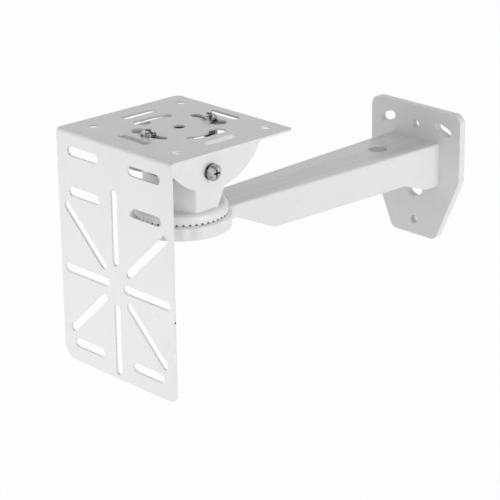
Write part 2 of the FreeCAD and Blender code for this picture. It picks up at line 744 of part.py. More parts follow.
def build_camera_plate():
    """L of sheet: a top plate with swivel slots and a tall flange pierced by a star."""
    body = make_body("camera_plate", y=HEAD_Y, z=PLATE_TOP)
    section = make_sketch(body, "section", "YZ_Plane")
    rear = "(plate_depth - plate_front)"
    draw_polygon(section, [
        ("-plate_front", "-flange_height"), ("-plate_front", "0"), (rear, "0"),
        (rear, "-plate_sheet"), ("-plate_front + plate_sheet", "-plate_sheet"),
        ("-plate_front + plate_sheet", "-flange_height"),
    ])
    pad(body, section, "plate_width", both_ways=True)
    bend = edges_along(body, "x", y=-number("plate_front"), z=0)
    rounded(body, "bend", bend, "plate_bend")
    inner = edges_along(body, "x", y=-number("plate_front - plate_sheet"),
                        z=-number("plate_sheet"))
    rounded(body, "inner_bend", inner, "plate_bend - plate_sheet")
    half = number("plate_width / 2")
    rear_edges = (edges_along(body, "z", x=half, y=number(rear))
                  + edges_along(body, "z", x=-half, y=number(rear)))
    rounded(body, "rear_corners", rear_edges, "plate_corner_round")
    foot = -number("flange_height")
    foot_edges = edges_along(body, "y", x=half, z=foot) + edges_along(body, "y", x=-half, z=foot)
    rounded(body, "foot_corners", foot_edges, "flange_corner_round")

    top = make_sketch(body, "top_holes", "XY_Plane")
    draw_circle(top, "0", "0", "centre_bore / 2")
    for side in ("", "-"):
        draw_level_slot(top, "0", side + "cross_slot_along", "cross_slot_length", "cross_slot_width")
        draw_upright_slot(top, side + "side_slot_out", "0", "side_slot_length", "side_slot_width")
        for end in ("", "-"):
            draw_circle(top, side + "corner_hole_out", end + "corner_hole_along",
                        "corner_hole_bore / 2")
    for quarter in range(4):
        draw_arc_slot(top, quarter * 90)
    cut(body, top, "plate_sheet")
    # keyholes at the ends of the arcs, mirrored about the plate's diagonal
    keyholes = make_sketch(body, "keyholes", "XY_Plane")
    across = "arc_radius * cos(keyhole_angle)"
    along = "arc_radius * sin(keyhole_angle)"
    draw_circle(keyholes, across, along, "keyhole_bore / 2")
    draw_circle(keyholes, "-" + across, "-" + along, "keyhole_bore / 2")
    draw_circle(keyholes, along, across, "keyhole_bore / 2")
    draw_circle(keyholes, "-" + along, "-" + across, "keyhole_bore / 2")
    cut(body, keyholes, "plate_sheet")

    flange = make_sketch(body, "flange_holes", "XZ_Plane", "plate_front")
    for side in ("", "-"):
        across = side + "flange_slot_out"
        for level in ("-flange_slot_drop", "flange_row_rise - flange_height",
                      "flange_low_slot_rise - flange_height"):
            draw_level_slot(flange, across, level, "flange_slot_length", "flange_slot_width")
    cap = "star_width / 2"
    hub = "-" + STAR_DROP
    # each ray of the star by its direction and the distances of its two ends from the hub
    rays = [
        (90, "star_up_start", "star_up_end"), (270, "star_down_start", "star_down_end"),
        (0, "star_side_start", STAR_SIDE_END), (180, "star_side_start", STAR_SIDE_END),
    ]
    rays += [(45 + quarter * 90, "star_diagonal_start", "star_diagonal_end")
             for quarter in range(4)]
    for angle, start, end in rays:
        ends = []
        for distance in ("(%s + %s)" % (start, cap), "(%s - %s)" % (end, cap)):
            across = "%s * cos(%d)" % (distance, angle) if angle % 180 != 90 else "0"
            rise = "%s * sin(%d)" % (distance, angle)
            ends.append((across, "%s + %s" % (hub, rise)))
        draw_slot(flange, ends[0], ends[1], cap)
    cut(body, flange, "plate_sheet")
    return body


def build_washer(label, width, bore, thick, place, turn=None):
    """Flat washer whose lower face lies at the given place."""
    body = make_body(label, *place, turn=turn)
    ring = make_sketch(body, "ring", "XY_Plane")
    draw_circle(ring, "0", "0", width + " / 2")
    draw_circle(ring, "0", "0", bore)
    pad(body, ring, thick)
    return body


def build_spring_washer(label, width, bore, thick, place, turn=None):
    """Split washer with a slanted gap."""
    body = build_washer(label, width, bore, thick, place, turn)
    gap = make_sketch(body, "split", "XZ_Plane")
    slant = "%s / 2" % thick
    draw_polygon(gap, [
        ("-spring_washer_split / 2 - " + slant, "0"), ("spring_washer_split / 2 - " + slant, "0"),
        ("spring_washer_split / 2 + " + slant, thick),
        ("-spring_washer_split / 2 + " + slant, thick),
    ])
    cut(body, gap)
    return body


def draw_hexagon(sketch, flats):
    """Regular hexagon by its width across flats."""
    reach = "%s / sqrt(3)" % flats
    draw_polygon(sketch, [("%s * cos(%d)" % (reach, 60 * index), "%s * sin(%d)" % (reach, 60 * index))
                          for index in range(6)])


def chamfer_hexagon(body, flats, height):
    """Turn the corners off the outer end of a hexagon."""
    ring = make_sketch(body, "corner_ring", "XZ_Plane")
    reach = "(%s / sqrt(3) + trim_margin)" % flats
    drop = "(%s - %s / 2) * tan(nut_chamfer_angle)" % (reach, flats)
    draw_polygon(ring, [(flats + " / 2", height), (reach, height),
                        (reach, "%s - (%s)" % (height, drop))])
    before = body.Shape.Volume
    feature = body.newObject("PartDesign::Groove", body.Label + "_corners")
    feature.Profile = ring
    feature.ReferenceAxis = (ring, ["V_Axis"])
    feature.Angle = 360
    doc.recompute()
    if not body.Shape.Volume < before:
        raise RuntimeError(feature.Name + " cuts nothing")


def build_nut(label, flats, bore, height, place, turn=None):
    """Hexagon nut whose bearing face lies at the given place."""
    body = make_body(label, *place, turn=turn)
    outline = make_sketch(body, "outline", "XY_Plane")
    draw_hexagon(outline, flats)
    draw_circle(outline, "0", "0", bore)
    pad(body, outline, height)
    chamfer_hexagon(body, flats, height)
    return body


def build_cross_screw(label, size, head_width, head_height, length, place, turn=None):
    """Pan-head screw with a cross recess; its seat lies at the given place."""
    body = make_body(label, *place, turn=turn)
    section = make_sketch(body, "section", "XZ_Plane")
    shank = size + " / 2"
    tip = "-(%s)" % length
    draw_polygon(section, [
        ("0", tip), (shank + " - bolt_tip_chamfer", tip), (shank, tip + " + bolt_tip_chamfer"),
        (shank, "0"), (head_width + " / 2", "0"),
        (head_width + " / 2", head_height + " - head_crown_drop"),
        (head_width + " / 2 - head_crown_run", head_height), ("0", head_height),
    ])
    revolve(body, section)
    recess = make_sketch(body, "recess", "XY_Plane", head_height)
    long = "recess_length / 2"
    thin = "recess_width / 2"
    corners = [(long, thin), (thin, thin), (thin, long)]
    plus = []
    for swap, across, along in ((0, "", ""), (1, "-", ""), (0, "-", "-"), (1, "", "-")):
        quarter = [(across + x, along + y) for x, y in corners]
        plus += quarter[::-1] if swap else quarter
    draw_polygon(recess, plus)
    cut(body, recess, "recess_depth")
    return body


def build_tilt_fasteners():
    """Bolt that clamps the ears to the yoke, with its washers and nut."""
    right = EAR_OUTSIDE
    pieces = []
    spot = right
    pieces.append(build_washer("tilt_flat_washer", "small_washer_width", TILT_BORE,
                               "small_washer_thick", (spot, HEAD_Y, TILT_AXIS), SIDEWAYS))
    spot = "(%s + small_washer_thick)" % spot
    pieces.append(build_spring_washer("tilt_spring_washer", "small_spring_width", TILT_BORE,
                                      "small_spring_thick", (spot, HEAD_Y, TILT_AXIS), SIDEWAYS))
    spot = "(%s + small_spring_thick)" % spot
    far = "(%s + small_washer_thick + small_nut_height + bolt_tail)" % right
    pieces.append(build_cross_screw("tilt_bolt", "tilt_bolt_size", "tilt_head_width",
                                    "tilt_head_height", "%s + %s" % (spot, far),
                                    (spot, HEAD_Y, TILT_AXIS), SIDEWAYS))
    other = FreeCAD.Rotation(V(0, 1, 0), -90)
    pieces.append(build_washer("tilt_far_washer", "small_washer_width", TILT_BORE,
                               "small_washer_thick", ("-" + right, HEAD_Y, TILT_AXIS), other))
    pieces.append(build_nut("tilt_nut", "small_nut_flats", "tilt_bolt_size / 2", "small_nut_height",
                            ("-(%s + small_washer_thick)" % right, HEAD_Y, TILT_AXIS), other))
    return pieces


def build_plate_fasteners():
    """Two screws through the swivel arcs, each with washers and a nut under the web."""
    pieces = []
    web_under = "(%s - plate_sheet - clevis_sheet)" % PLATE_TOP
    length = "(plate_sheet + clevis_sheet + %s + small_nut_height + bolt_tail)" % SMALL_STACK
    for end, sign in (("front", "-"), ("rear", "+")):
        along = "(-head_reach %s arc_radius)" % sign
        pieces.append(build_cross_screw("plate_screw_" + end, "plate_screw_size",
                                        "plate_head_width", "plate_head_height", length,
                                        ("0", along, PLATE_TOP)))
        pieces.append(build_washer("plate_washer_" + end, "small_washer_width", SCREW_BORE,
                                   "small_washer_thick", ("0", along, web_under), UPSIDE_DOWN))
        level = "(%s - small_washer_thick)" % web_under
        pieces.append(build_spring_washer("plate_spring_washer_" + end, "small_spring_width",
                                          SCREW_BORE, "small_spring_thick",
                                          ("0", along, level), UPSIDE_DOWN))
        level = "(%s - small_spring_thick)" % level
        pieces.append(build_nut("plate_nut_" + end, "small_nut_flats", "plate_screw_size / 2",
                                "small_nut_height", ("0", along, level), UPSIDE_DOWN))
    return pieces


def build_pan_fasteners():
    """Bolt on which the head turns, with washers and a nut inside the cup."""
    body = make_body("pan_bolt", y=HEAD_Y, z="(%s + yoke_sheet)" % DISC_TOP)
    head = make_sketch(body, "head", "XY_Plane")
    draw_hexagon(head, "pan_head_flats")
    pad(body, head, "pan_head_height")
    chamfer_hexagon(body, "pan_head_flats", "pan_head_height")
    shank = make_sketch(body, "shank", "XY_Plane")
    draw_circle(shank, "0", "0", "pan_bolt_size / 2")
    pad(body, shank, "yoke_sheet + disc_height + arm_sheet + %s + pan_nut_height + bolt_tail"
        % PAN_STACK, reverse=True)
    under = "(arm_top - arm_sheet)"
    washer = build_washer("pan_washer", "pan_washer_width", PAN_BORE, "pan_washer_thick",
                          ("0", HEAD_Y, under), UPSIDE_DOWN)
    level = "(%s - pan_washer_thick)" % under
    spring = build_spring_washer("pan_spring_washer", "pan_spring_width", PAN_BORE,
                                 "pan_spring_thick", ("0", HEAD_Y, level), UPSIDE_DOWN)
    level = "(%s - pan_spring_thick)" % level
    nut = build_nut("pan_nut", "pan_nut_flats", "pan_bolt_size / 2", "pan_nut_height",
                    ("0", HEAD_Y, level), UPSIDE_DOWN)
    return [body, washer, spring, nut]


pieces = [build_wall_plate(), build_arm(), build_pan_disc(), build_tilt_yoke(),
          build_tilt_clevis(), build_camera_plate()]
pieces += build_tilt_fasteners() + build_plate_fasteners() + build_pan_fasteners()
doc.recompute()

for item in doc.Objects:
    if "Invalid" in item.State or "Error" in item.State:
        raise RuntimeError("%s failed: %s" % (item.Name, item.State))
for piece in pieces:
    shape = piece.Shape
    if shape.isNull() or not shape.isValid() or shape.Volume <= 0:
        raise RuntimeError(piece.Label + " has no valid solid")
for piece in pieces:
    piece.Shape.exportStep("parts/%s.step" % piece.Label)
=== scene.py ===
import json
import math

import bmesh
import bpy
from mathutils import Matrix, Vector
from mathutils.geometry import tessellate_polygon


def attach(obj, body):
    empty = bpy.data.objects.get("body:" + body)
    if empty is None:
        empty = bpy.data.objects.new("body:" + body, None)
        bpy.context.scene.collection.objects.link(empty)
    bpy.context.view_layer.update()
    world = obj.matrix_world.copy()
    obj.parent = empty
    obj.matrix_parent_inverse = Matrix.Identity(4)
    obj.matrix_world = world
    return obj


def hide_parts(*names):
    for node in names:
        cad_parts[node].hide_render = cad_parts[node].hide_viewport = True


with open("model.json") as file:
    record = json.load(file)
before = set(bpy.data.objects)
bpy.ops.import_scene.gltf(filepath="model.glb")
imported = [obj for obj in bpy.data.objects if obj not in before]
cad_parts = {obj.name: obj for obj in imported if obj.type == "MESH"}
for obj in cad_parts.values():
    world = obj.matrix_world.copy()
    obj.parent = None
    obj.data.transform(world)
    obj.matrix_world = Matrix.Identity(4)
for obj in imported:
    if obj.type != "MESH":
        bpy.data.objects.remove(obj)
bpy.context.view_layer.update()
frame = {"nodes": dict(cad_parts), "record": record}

# The floor's height and half width, in metres like every length here
FLOOR_LEVEL = -0.32
FLOOR_REACH = 9.0

# The photograph's camera: its place, its turn in degrees and its focal length in pixels
CAMERA_PLACE = Vector((1.0096, -1.1432, 0.4969))
CAMERA_YAW = 46.51
CAMERA_PITCH = 20.38
CAMERA_ROLL = -0.60
FOCAL_PIXELS = 2020.8
PHOTO_PIXELS = 500
SENSOR_WIDTH = 36.0
CLIP_NEAR = 0.05
CLIP_FAR = 50.0

# Each lamp: its place, the point it faces, its edge length and its power in watts
FRONT_LAMP = ((-0.05, -0.75, -0.02), (0.0, -0.31, -0.01), 0.45, 1.35)
SIDE_LAMP = ((1.20, -0.06, 0.04), (0.0, -0.08, 0.03), 0.9, 7.9)
# strength of the surroundings as a light, and share of white that the camera sees on the floor
AMBIENT = 0.43
FLOOR_GLOW = 0.97
FLOOR_ROUGHNESS = 0.8

# Axes and levels of the object
HEAD_Y = -0.252
TILT_RISE = 0.0634
PLATE_TOP = 0.0890
CUP_TOP = 0.0270

# Painted marks, mostly painted shade, with the arm's painted reflection streaks, the skirt's wrinkles
# and a nick in the paint: a place, the radius round an axis through it, and two heights along the
# axis
TILT_RECESS = Vector((0.0360, HEAD_Y, TILT_RISE))
SCREW_RECESS_RISE = 0.0014
RECESS_RADIUS = 0.0026
RECESS_LEVELS = (-0.001, 0.0012)
ARM_REACH = 0.35
REFLECTION_STREAK_LEVELS = (-0.0008, 0.001)
SKIRT_RADIUS = 0.040
SKIRT_LEVELS = (-0.010, CUP_TOP - 0.001)
CABLE_HOLE = Vector((0.0, -0.0490, CUP_TOP))
CABLE_REACH = 0.0140
CABLE_LEVELS = (-0.0400, -0.0006)
RIM_RADIUS = 0.0334
ARM_RIM_LEVELS = (-0.0005, 0.001)
DISC_RIM_LEVELS = (-0.001, 0.001)
WEB_SHADE_RADIUS = 0.017
WEB_SHADE_LEVELS = (-0.0004, 0.001)
HUB_MARGIN = 0.0002
HUB_LEVELS = (-0.0040, 0.001)
NICK_PLACE = Vector((0.0600, -0.3125, -0.0235))
NICK_RADIUS = 0.0006
NICK_LEVELS = (-0.0007, 0.0007)

# Noise scales: clouds, gloss and grain of the paint, then of the zinc, then the arm's painted
# reflection streaks and wrinkles
PAINT_CLOUD = 14.0
PAINT_GLOSS = 55.0
PAINT_PEEL = 620.0
ZINC_CLOUD = 330.0
ZINC_GLOSS = 900.0
ZINC_SCRATCH = 2600.0
REFLECTION_STREAK_SCALES = (120.0, 4.0, 0.0)
WRINKLE_SCALES = (110.0, 110.0, 8.0)
# parts of a noise's range that are stretched to the full contrast
PLAIN_RANGE = (0.3, 0.7)
REFLECTION_STREAK_RANGE = (0.38, 0.62)
ZINC_RANGE = (0.4, 0.6)
# roughness from the glossiest to the dullest patch
PAINT_ROUGHNESS = (0.27, 0.31)
ZINC_ROUGHNESS = (0.20, 0.34)
# share of the clear coat and its roughness
COAT = (0.25, 0.12)
# strength and height of each relief
PEEL_RELIEF = (0.02, 0.0002)
WRINKLE_RELIEF = (0.9, 0.004)
SCRATCH_RELIEF = (0.15, 0.00005)

# The camera plate's sheet, slots and star, and the U under it, as the photograph shows them
PLATE_HALF = 0.0600
PLATE_FRONT = -0.3132
PLATE_REAR = -0.1995
PLATE_FOOT = -0.0835
PLATE_SHEET = 0.0015
PLATE_BEND = 0.0030
REAR_ROUND = 0.0040
LEFT_FOOT_ROUND = 0.0110
RIGHT_FOOT_ROUND = 0.0065
SLOT_WIDTH = 0.0070
# the corner holes' distances from the axis, across and along
CORNER_HOLES = (0.0440, 0.0410)
CORNER_BORE = 0.0075
CENTRE_BORE = 0.0090
# each straight slot's distance from the axis, and its length
CROSS_SLOT = (0.0414, 0.0320)
SIDE_SLOT = (0.0430, 0.0300)
SWIVEL_RADIUS = 0.0284
SWIVEL_WIDTH = 0.0065
# the arc from end to end and the keyhole's place on it, in degrees
SWIVEL_SPAN = 64
KEYHOLE_BORE = 0.0125
KEYHOLE_ANGLE = 24
FLANGE_SLOT = (0.0320, 0.0330)
FLANGE_ROWS = (0.0749, 0.0454, -0.0688)
STAR_HUB = (0.0, -0.0131)
STAR_WIDTH = 0.0065
STAR_LEAN = 42.5
# each ray's direction in degrees, and the distances of its two ends from the hub
STAR_RAYS = (
    (90, 0.0145, 0.0701), (270, 0.0143, 0.0674), (0, 0.0070, 0.0560), (180, 0.0070, 0.0560),
    (STAR_LEAN, 0.0152, 0.0725), (180 - STAR_LEAN, 0.0152, 0.0725),
    (-STAR_LEAN, 0.0152, 0.0700), (180 + STAR_LEAN, 0.0152, 0.0700),
)
EAR_OUT = 0.0318
EAR_RADIUS = 0.0503
EAR_CENTRE = (HEAD_Y + 0.0037, TILT_RISE + 0.0365)
CLEVIS_SHEET = 0.0025
CLEVIS_BEND = 0.0030
# the window's two sides across, and its half length along
WINDOW = (0.0140, 0.0283, 0.0260)
WINDOW_ROUND = 0.0030
# the notches in the web's ends: half width, and distance from the axis
WEB_NOTCH = (0.0200, 0.0360)
SCREW_BORE = 0.0062
WASHER_WIDTH = 0.0120
WASHER_FOOT = 0.0829
# hair's breadth that keeps touching faces apart, and the one that joins points into one
TOUCH_GAP = 0.00002
WELD_GAP = 0.000001
# longest step in degrees along an arc, and a finer one for arcs wider than a radius
ARC_STEP = 12
LARGE_ARC = 0.0200
LARGE_ARC_STEP = 3
BEND_STEPS = 12
SWIVEL_STEPS = 40
# faces that meet at more than this many degrees keep a crisp edge
SHARP_ANGLE = 40

# Colours as linear values
WHITE = (1.0, 1.0, 1.0, 1.0)
FLOOR_PAINT = (0.9, 0.9, 0.9, 1.0)
PAINT_PALE = (0.79, 0.795, 0.79, 1.0)
PAINT_SHADE = (0.772, 0.777, 0.772, 1.0)
# painted reflection: darker streaks on the arm's top face
PAINTED_REFLECTION_STREAK = (0.71, 0.71, 0.70, 1.0)
# near black: painted shade in recesses, the disc's notches, the cup under the disc and the centre
# bore; also the colour of the nick in the paint
PAINTED_SHADE_AND_NICK = (0.015, 0.015, 0.014, 1.0)
SHADOWED = (0.20, 0.20, 0.20, 1.0)
HOLE_SHADE = (0.57, 0.575, 0.55, 1.0)
ZINC_PALE = (0.54, 0.54, 0.53, 1.0)
ZINC_GREY = (0.30, 0.30, 0.30, 1.0)
ZINC_DARK = (0.06, 0.06, 0.06, 1.0)


def make_tree(name):
    """A new node material with its principled shader."""
    material = bpy.data.materials.new(name)
    material.use_nodes = True
    tree = material.node_tree
    shader = tree.nodes["Principled BSDF"]
    return material, tree, shader


def object_noise(tree, scale, detail=3.0):
    """Noise that stays with the object."""
    place = tree.nodes.new("ShaderNodeTexCoord")
    noise = tree.nodes.new("ShaderNodeTexNoise")
    noise.inputs["Scale"].default_value = scale
    noise.inputs["Detail"].default_value = detail
    tree.links.new(place.outputs["Object"], noise.inputs["Vector"])
    return noise


def ramp(tree, source, low, high, source_range=PLAIN_RANGE):
    """Map a value from its own range to another."""
    node = tree.nodes.new("ShaderNodeMapRange")
    node.inputs["From Min"].default_value = source_range[0]
    node.inputs["From Max"].default_value = source_range[1]
    node.inputs["To Min"].default_value = low
    node.inputs["To Max"].default_value = high
    tree.links.new(source, node.inputs["Value"])
    return node.outputs["Result"]


def mixed(tree, share, low, high):
    """Blend two colours by a share."""
    mix = tree.nodes.new("ShaderNodeMix")
    mix.data_type = "RGBA"
    for socket, value in (("A", low), ("B", high)):
        if isinstance(value, tuple):
            mix.inputs[socket].default_value = value
        else:
            tree.links.new(value, mix.inputs[socket])
    tree.links.new(share, mix.inputs["Factor"])
    return mix.outputs["Result"]


def math_node(tree, operation, first, second):
    """One sum on a value."""
    node = tree.nodes.new("ShaderNodeMath")
    node.operation = operation
    tree.links.new(first, node.inputs[0])
    if isinstance(second, float):
        node.inputs[1].default_value = second
    else:
        tree.links.new(second, node.inputs[1])
    return node.outputs["Value"]


def vector_node(tree, operation, first, second):
    """One sum of a vector with a fixed one."""
    node = tree.nodes.new("ShaderNodeVectorMath")
    node.operation = operation
    tree.links.new(first, node.inputs[0])
    node.inputs[1].default_value = second
    return node.outputs["Vector"]


def near_axis(tree, centre, axis, radius, low, high):
    """Share of 1 near an axis (0 is X, 2 is Z) and between two heights along it."""
    place = tree.nodes.new("ShaderNodeTexCoord").outputs["Object"]
    offset = vector_node(tree, "SUBTRACT", place, centre)
    flat = Vector((1.0, 1.0, 1.0))
    flat[axis] = 0.0
    length = tree.nodes.new("ShaderNodeVectorMath")
    length.operation = "LENGTH"
    tree.links.new(vector_node(tree, "MULTIPLY", offset, flat), length.inputs[0])
    near = math_node(tree, "LESS_THAN", length.outputs["Value"], radius)
    split = tree.nodes.new("ShaderNodeSeparateXYZ")
    tree.links.new(offset, split.inputs["Vector"])
    above = math_node(tree, "GREATER_THAN", split.outputs[axis], low)
    below = math_node(tree, "LESS_THAN", split.outputs[axis], high)
    return math_node(tree, "MULTIPLY", near, math_node(tree, "MULTIPLY", above, below))


def add_relief(tree, height, relief, under):
    """Turn a value into relief, by its strength and height, for the node that it feeds."""
    bump = tree.nodes.new("ShaderNodeBump")
    bump.inputs["Strength"].default_value = relief[0]
    bump.inputs["Distance"].default_value = relief[1]
    tree.links.new(height, bump.inputs["Height"])
    tree.links.new(bump.outputs["Normal"], under.inputs["Normal"])
    return bump


def stretched_noise(tree, scales, detail=2.0):
    """Noise drawn out along the object, by a scale for each direction."""
    place = tree.nodes.new("ShaderNodeTexCoord").outputs["Object"]
    noise = tree.nodes.new("ShaderNodeTexNoise")
    noise.inputs["Scale"].default_value = 1.0
    noise.inputs["Detail"].default_value = detail
    tree.links.new(vector_node(tree, "MULTIPLY", place, scales), noise.inputs["Vector"])
    return noise.outputs["Fac"]


def powder_coat(name, dark_spots=(), reflections_and_wrinkles=False):
    """White gloss powder coat, cloudy and faintly pebbled, with dark spots (painted shade, and one
    nick in the paint), and on the arm painted reflection streaks and wrinkles.
    """
    material, tree, shader = make_tree(name)
    cloud = object_noise(tree, PAINT_CLOUD)
    colour = mixed(tree, ramp(tree, cloud.outputs["Fac"], 0.0, 1.0), PAINT_SHADE, PAINT_PALE)
    if reflections_and_wrinkles:
        # painted reflection streaks on the arm's top face
        top = near_axis(tree, Vector((0.0, 0.0, CUP_TOP)), 2, ARM_REACH, *REFLECTION_STREAK_LEVELS)
        reflection_streak = ramp(tree, stretched_noise(tree, REFLECTION_STREAK_SCALES, 1.0), 0.0, 1.0, REFLECTION_STREAK_RANGE)
        colour = mixed(tree, math_node(tree, "MULTIPLY", top, reflection_streak), colour, PAINTED_REFLECTION_STREAK)
    # dark spots: painted shade, and a nick in the paint
    for spot, dark in dark_spots:
        colour = mixed(tree, near_axis(tree, *spot), colour, dark)
    tree.links.new(colour, shader.inputs["Base Color"])
    gloss = object_noise(tree, PAINT_GLOSS)
    tree.links.new(ramp(tree, gloss.outputs["Fac"], *PAINT_ROUGHNESS), shader.inputs["Roughness"])
    peel = object_noise(tree, PAINT_PEEL, 2.0)
    bump = add_relief(tree, peel.outputs["Fac"], PEEL_RELIEF, shader)
    shader.inputs["Coat Weight"].default_value = COAT[0]
    shader.inputs["Coat Roughness"].default_value = COAT[1]
    if reflections_and_wrinkles:
        add_wrinkles(tree, bump)
    return material


def add_wrinkles(tree, bump):
    """Soft upright wrinkles that the press leaves in the skirt of the cup."""
    skirt = near_axis(tree, Vector((0.0, HEAD_Y, 0.0)), 2, SKIRT_RADIUS, *SKIRT_LEVELS)
    fold = stretched_noise(tree, WRINKLE_SCALES, 0.0)
    add_relief(tree, math_node(tree, "MULTIPLY", fold, skirt), WRINKLE_RELIEF, bump)


def zinc(name, low, high, recess=None):
    """Zinc plate between two greys: cloudy, finely scratched, and with painted shade in a screw's
    recess.
    """
    material, tree, shader = make_tree(name)
    cloud = object_noise(tree, ZINC_CLOUD)
    colour = mixed(tree, ramp(tree, cloud.outputs["Fac"], 0.0, 1.0, ZINC_RANGE), low, high)
    if recess:
        # painted shade in the screw's cross recess
        spot = near_axis(tree, *recess, RECESS_RADIUS, *RECESS_LEVELS)
        colour = mixed(tree, spot, colour, PAINTED_SHADE_AND_NICK)
    tree.links.new(colour, shader.inputs["Base Color"])
    shader.inputs["Metallic"].default_value = 1.0
    gloss = object_noise(tree, ZINC_GLOSS)
    tree.links.new(ramp(tree, gloss.outputs["Fac"], *ZINC_ROUGHNESS), shader.inputs["Roughness"])
    scratch = object_noise(tree, ZINC_SCRATCH, 2.0)
    add_relief(tree, scratch.outputs["Fac"], SCRATCH_RELIEF, shader)
    return material


def arc(centre, radius, start, end):
    """Points along an arc between two angles in degrees."""
    largest = LARGE_ARC_STEP if radius > LARGE_ARC else ARC_STEP
    count = max(2, round(abs(end - start) / largest) + 1)
    turns = [math.radians(start + (end - start) * step / (count - 1)) for step in range(count)]
    return [(centre[0] + radius * math.cos(turn), centre[1] + radius * math.sin(turn))
            for turn in turns]


def hole(centre, bore):
    """Outline of a round hole."""
    return arc(centre, bore / 2, 0, 360)[:-1]


def slot(centre, length, width, lean=0):
    """Outline of a round-ended slot that leans by an angle in degrees."""
    reach = (length - width) / 2
    turn = math.radians(lean)
    ends = []
    for side in (1, -1):
        offset = side * reach
        middle = (centre[0] + offset * math.cos(turn), centre[1] + offset * math.sin(turn))
        start = lean - 90 * side
        ends += arc(middle, width / 2, start, start + 180)
    return ends


def star_ray(direction, start, end):
    """Outline of one ray of the flange's star."""
    turn = math.radians(direction)
    reach = (start + end) / 2
    middle = (STAR_HUB[0] + reach * math.cos(turn), STAR_HUB[1] + reach * math.sin(turn))
    return slot(middle, end - start, STAR_WIDTH, direction)


def swivel_slot(middle, keyhole):
    """Outline of a slot on the swivel circle that swells to a keyhole, by angles in degrees."""
    half = SWIVEL_WIDTH / 2
    bulge = KEYHOLE_BORE / 2
    reach = math.radians(SWIVEL_SPAN / 2) * SWIVEL_RADIUS
    key_place = math.radians(abs(keyhole)) * SWIVEL_RADIUS
    far_end = key_place + bulge
    outer = []
    inner = []
    for step in range(SWIVEL_STEPS + 1):
        share = (1 - math.cos(math.pi * step / SWIVEL_STEPS)) / 2
        place = -reach + (reach + far_end) * share
        past = max(abs(place) - reach + half, 0.0)
        slot_half = math.sqrt(max(half ** 2 - past ** 2, 0.0))
        key_half = math.sqrt(max(bulge ** 2 - (place - key_place) ** 2, 0.0))
        swell = max(slot_half, key_half)
        turn = math.radians(middle) + math.copysign(1, keyhole) * place / SWIVEL_RADIUS
        for row, radius in ((outer, SWIVEL_RADIUS + swell), (inner, SWIVEL_RADIUS - swell)):
            row.append((radius * math.cos(turn), HEAD_Y + radius * math.sin(turn)))
    return outer[:-1] + inner[:0:-1]


def rounded_window(side):
    """Outline of one window of the clevis web."""
    low, high, reach = WINDOW
    near = low + WINDOW_ROUND
    far = high - WINDOW_ROUND
    front = HEAD_Y - (reach - WINDOW_ROUND)
    rear = HEAD_Y + (reach - WINDOW_ROUND)
    points = []
    for quarter, centre in enumerate(((far, rear), (near, rear), (near, front), (far, front))):
        points += arc(centre, WINDOW_ROUND, 90 * quarter, 90 * quarter + 90)
    return [(side * across, along) for across, along in points]


def drawn(origin, across, up, out):
    """Matrix of a drawing plane: its place and its three directions."""
    return Matrix.Translation(origin) @ Matrix((across, up, out)).transposed().to_4x4()


def add_sheet(shell, loops, thickness, plane, open_edges=(0,)):
    """Add a pierced sheet below a drawing plane, open at the outline's edges that a bend joins."""
    faces = []
    for depth in (0.0, -thickness):
        faces.append([[shell.verts.new(plane @ Vector((across, along, depth)))
                       for across, along in loop] for loop in loops])
    # in millimetres, because the fill joins points that are very close
    flat = [[Vector((across, along, 0.0)) * 1000 for across, along in loop] for loop in loops]
    for side in faces:
        corners = [corner for loop in side for corner in loop]
        for triangle in tessellate_polygon(flat):
            shell.faces.new([corners[index] for index in triangle])
    for number, (top, low) in enumerate(zip(*faces)):
        for index in range(len(top)):
            if number == 0 and index in open_edges:
                continue
            after = (index + 1) % len(top)
            wall = shell.faces.new((top[index], top[after], low[after], low[index]))
            wall.smooth = True


def add_bend(shell, thickness, outer, ends, plane):
    """Add the quarter-round bend between two sheets, along the third direction of its plane."""
    rows = []
    for step in range(BEND_STEPS + 1):
        turn = math.radians(90 + 90 * step / BEND_STEPS)
        rows.append([shell.verts.new(plane @ Vector((radius * math.cos(turn),
                                                     radius * math.sin(turn), end)))
                     for radius in (outer, outer - thickness) for end in ends])
    for first, second in zip(rows, rows[1:]):
        for one, other in ((0, 1), (1, 3), (3, 2), (2, 0)):
            face = shell.faces.new((first[one], first[other], second[other], second[one]))
            face.smooth = True


def finish_piece(shell, name, body, node, material):
    """Turn a shell into the piece that stands for a node."""
    bmesh.ops.remove_doubles(shell, verts=shell.verts, dist=WELD_GAP)
    bmesh.ops.recalc_face_normals(shell, faces=shell.faces)
    mesh = bpy.data.meshes.new(name)
    shell.to_mesh(mesh)
    shell.free()
    mesh.set_sharp_from_angle(angle=math.radians(SHARP_ANGLE))
    mesh.materials.append(material)
    piece = bpy.data.objects.new(name, mesh)
    bpy.context.collection.objects.link(piece)
    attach(piece, body)
    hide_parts(node)


